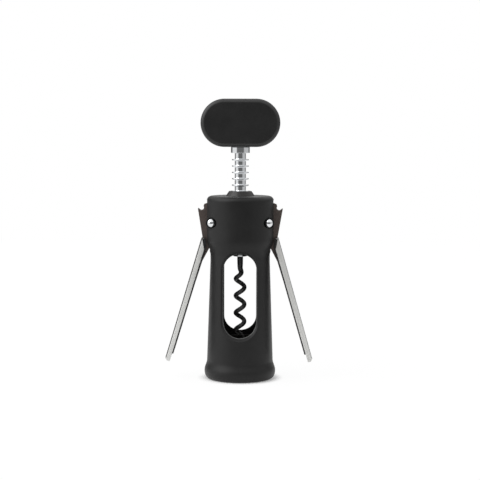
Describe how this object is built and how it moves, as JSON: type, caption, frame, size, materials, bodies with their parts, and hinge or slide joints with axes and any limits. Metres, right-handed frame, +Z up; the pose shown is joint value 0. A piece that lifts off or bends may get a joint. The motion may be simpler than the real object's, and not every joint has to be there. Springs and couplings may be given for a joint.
{
  "type": "wing corkscrew",
  "caption": "Wing corkscrew with a bell body, side windows, a ringed rack on a turning spindle with a slab handle and worm, and geared side levers that raise the rack.",
  "frame": {"origin": "centre of the bottle bore on the plane that the base stands on", "axes": "+Z up along the spindle, +X towards the right lever seen from the front, -Y towards the front"},
  "size_m": [0.0958, 0.0464, 0.1816],
  "materials": {
    "body_black": "soft-touch black moulding",
    "bush_black": "moulded black nylon",
    "grip_black": "soft overmoulded grip",
    "rack_chrome": "bright chrome plate",
    "worm_black": "slick black coating on steel",
    "gear_oxide": "brown-black sintered steel",
    "arm_silver": "fine satin metal",
    "strip_black": "moulded black strip"
  },
  "bodies": {
    "body": {"body_shell": "body_black", "top_guide_bush": "bush_black", "lower_guide_bush": "bush_black", "bottle_seat": "bush_black", "pivot_rivet_left": "rack_chrome", "pivot_rivet_right": "rack_chrome"},
    "rack": {"rack_sleeve": "rack_chrome"},
    "spindle": {"spindle_rod": "rack_chrome", "neck_collar": "rack_chrome", "end_collar": "rack_chrome", "handle_core": "bush_black", "handle_grip": "grip_black", "handle_cross_pin": "rack_chrome", "worm": "worm_black"},
    "left_lever": {"lever_gear_left": "gear_oxide", "lever_arm_left": "arm_silver", "lever_strip_left": "strip_black", "arm_rivets_left": "arm_silver"},
    "right_lever": {"lever_gear_right": "gear_oxide", "lever_arm_right": "arm_silver", "lever_strip_right": "strip_black", "arm_rivets_right": "arm_silver"}
  },
  "joints": [
    {"name": "left_lever_swing", "type": "hinge", "parent": "body", "child": "left_lever", "pos_m": [-0.0183, 0, 0.1021], "axis": [0, 1, 0], "range_deg": [0, 100]},
    {"name": "right_lever_swing", "type": "hinge", "parent": "body", "child": "right_lever", "pos_m": [0.0183, 0, 0.1021], "axis": [0, -1, 0], "range_deg": [0, 100]},
    {"name": "rack_slide", "type": "slide", "parent": "body", "child": "rack", "axis": [0, 0, -1], "range_m": [0, 0.024]},
    {"name": "handle_spin", "type": "hinge", "parent": "rack", "child": "spindle", "pos_m": [0, 0, 0.15], "axis": [0, 0, 1], "continuous": true}
  ],
  "couplings": [
    {"joint": "right_lever_swing", "follows": "left_lever_swing", "ratio": 1},
    {"joint": "rack_slide", "follows": "left_lever_swing", "m_per_rad": 0.013703}
  ]
}
